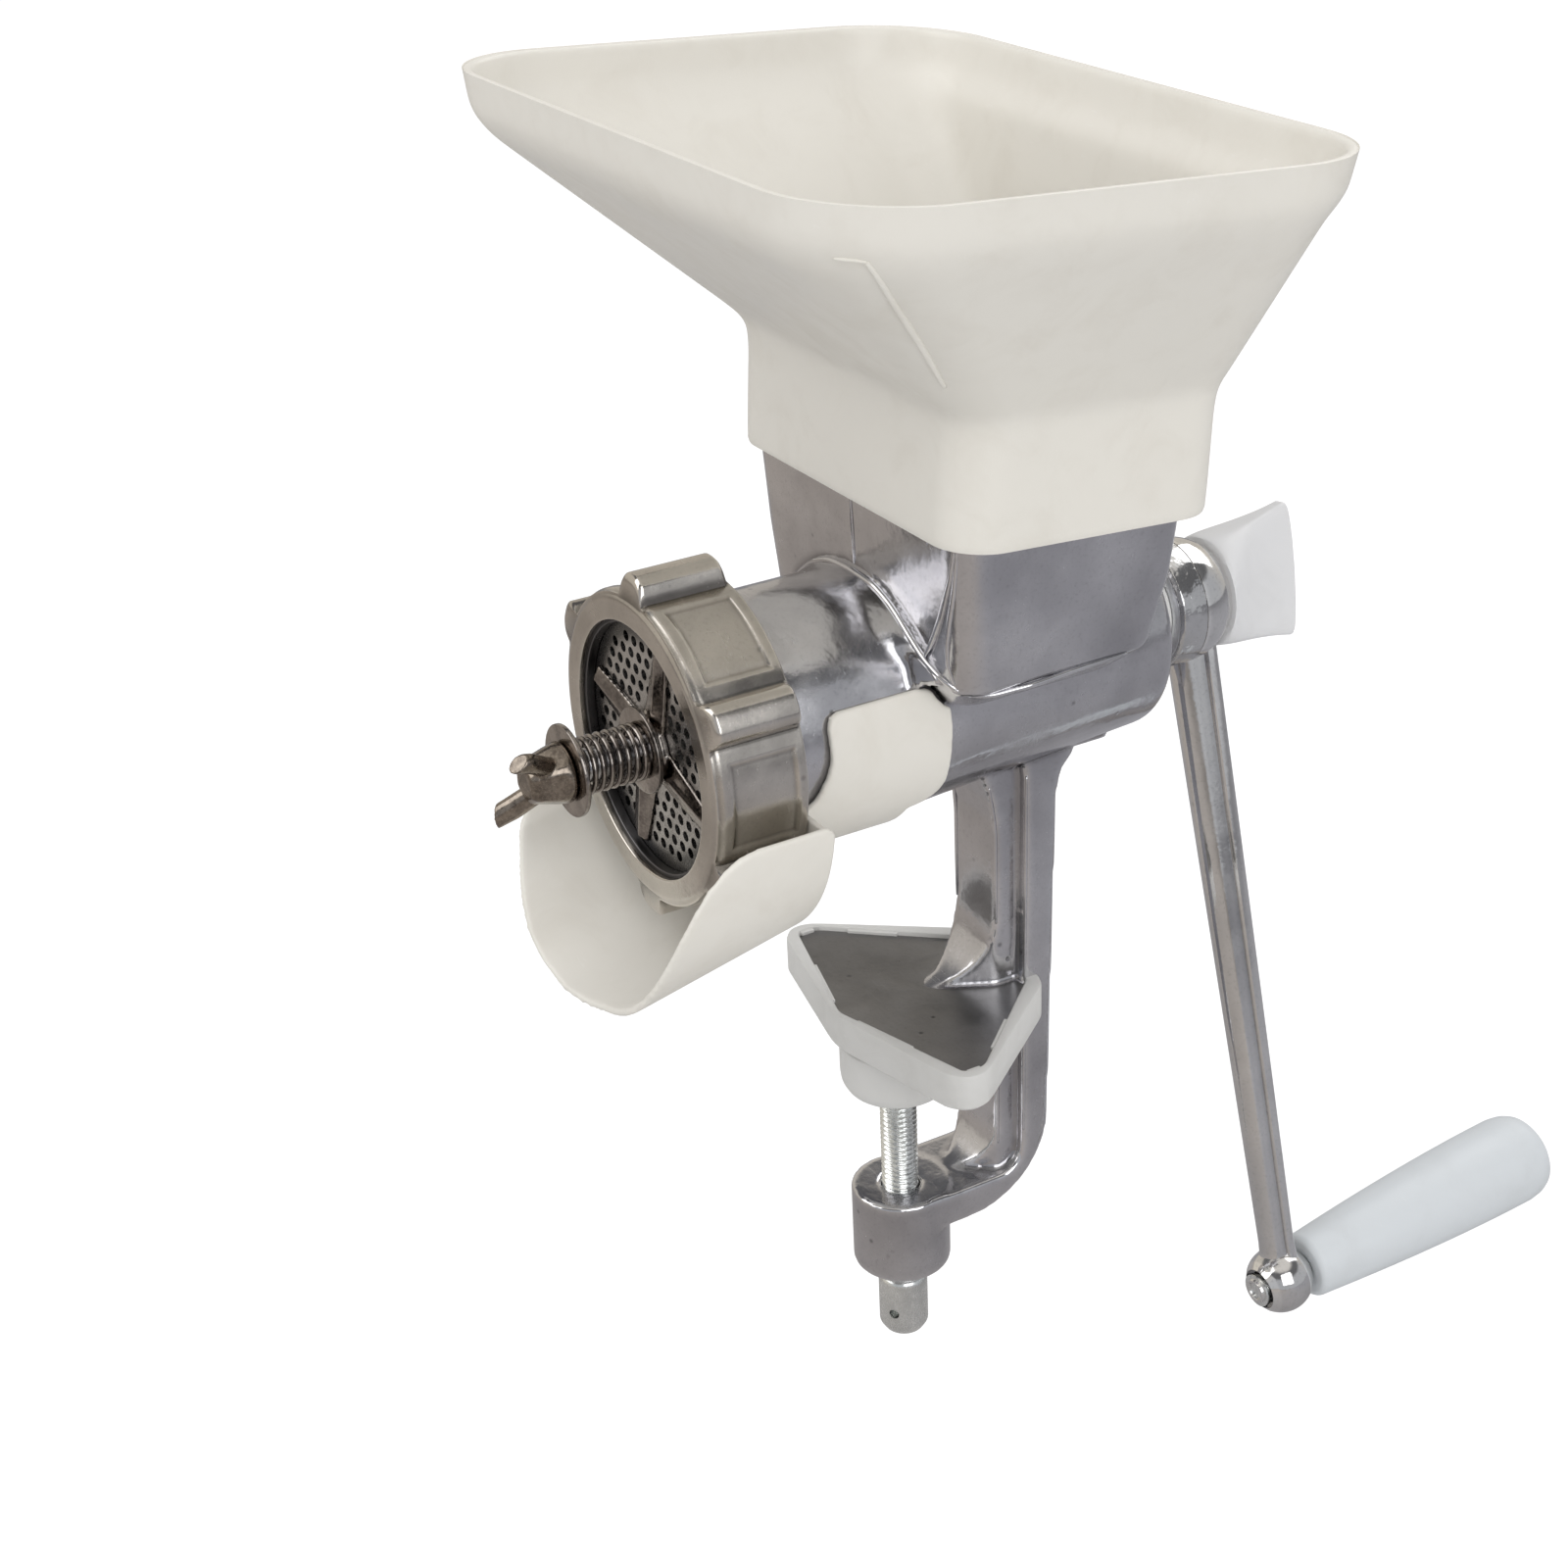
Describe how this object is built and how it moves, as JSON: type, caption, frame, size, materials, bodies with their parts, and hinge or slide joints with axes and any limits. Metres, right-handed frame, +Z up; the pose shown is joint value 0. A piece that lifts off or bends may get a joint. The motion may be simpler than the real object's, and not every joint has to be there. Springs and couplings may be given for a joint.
{
  "type": "hand crank meat grinder with clamp foot",
  "caption": "Hand crank grinder with a screw clamp, a flared plastic hopper, a perforated plate under a ring nut, a sprung outside knife and a clip-on chute.",
  "frame": {"origin": "centre of the table seat under the upper clamp jaw, on the clamp screw's axis", "axes": "+X to the right seen from behind the crank, +Y from the outlet back along the barrel to the crank, +Z up, square to the table"},
  "size_m": [0.1866, 0.2809, 0.3352],
  "materials": {
    "cast": "tumbled and polished aluminium casting",
    "steel": "polished stainless steel",
    "zinc": "zinc-plated steel",
    "ivory": "satin moulded polypropylene, ivory",
    "white": "satin moulded plastic, cool white",
    "rubber": "soft matt plastic, greyish white",
    "nylon": "plain nylon"
  },
  "bodies": {
    "body": {"body_casting": "cast", "rear_bush": "nylon", "thrust_washer": "nylon", "perforated_plate": "steel", "plate_pin": "steel", "chute": "ivory", "jaw_boot": "rubber"},
    "ring": {"ring_nut": "cast"},
    "hopper": {"hopper": "ivory"},
    "shaft": {"auger": "cast", "knife": "steel", "rear_washer": "steel", "spring": "steel", "crank": "cast", "crank_pin": "zinc"},
    "grip": {"grip": "white"},
    "knob": {"thumb_knob": "white", "knob_stud": "zinc"},
    "tension_washer": {"front_washer": "steel"},
    "wing_nut": {"wing_nut": "steel"},
    "pad": {"clamp_pad": "rubber"},
    "screw": {"clamp_screw": "zinc"}
  },
  "joints": [
    {"name": "ring_unscrew", "type": "slide", "parent": "body", "child": "ring", "axis": [0, -1, 0], "range_m": [0, 0.03]},
    {"name": "hopper_lift", "type": "slide", "parent": "body", "child": "hopper", "axis": [0, 0.0698, 0.9976], "range_m": [0, 0.06]},
    {"name": "crank_spin", "type": "hinge", "parent": "body", "child": "shaft", "pos_m": [0, 0.013, 0.098], "axis": [0, 1, 0], "continuous": true},
    {"name": "grip_spin", "type": "hinge", "parent": "shaft", "child": "grip", "pos_m": [0.05088, 0.0881, -0.08423], "axis": [-0.0197, 0.9973, 0.0705], "continuous": true},
    {"name": "knob_unscrew", "type": "slide", "parent": "shaft", "child": "knob", "axis": [0, 1, 0], "range_m": [0, 0.02]},
    {"name": "washer_ease", "type": "slide", "parent": "shaft", "child": "tension_washer", "axis": [0, -1, 0], "range_m": [0, 0.00249]},
    {"name": "wing_nut_turn", "type": "hinge", "parent": "tension_washer", "child": "wing_nut", "pos_m": [0, -0.089, 0.098], "axis": [0, -1, 0], "range_deg": [-2, 722]},
    {"name": "pad_travel", "type": "slide", "parent": "body", "child": "pad", "axis": [0, 0, 1], "range_m": [-0.0225, 0.0008]},
    {"name": "clamp_screw_turn", "type": "hinge", "parent": "pad", "child": "screw", "pos_m": [0, 0, -0.03], "axis": [0, 0, 1], "range_deg": [-5410, 200]}
  ],
  "couplings": [
    {"joint": "wing_nut_turn", "follows": "washer_ease", "rad_per_m": 5026.5},
    {"joint": "clamp_screw_turn", "follows": "pad_travel", "rad_per_m": 4188.8}
  ]
}
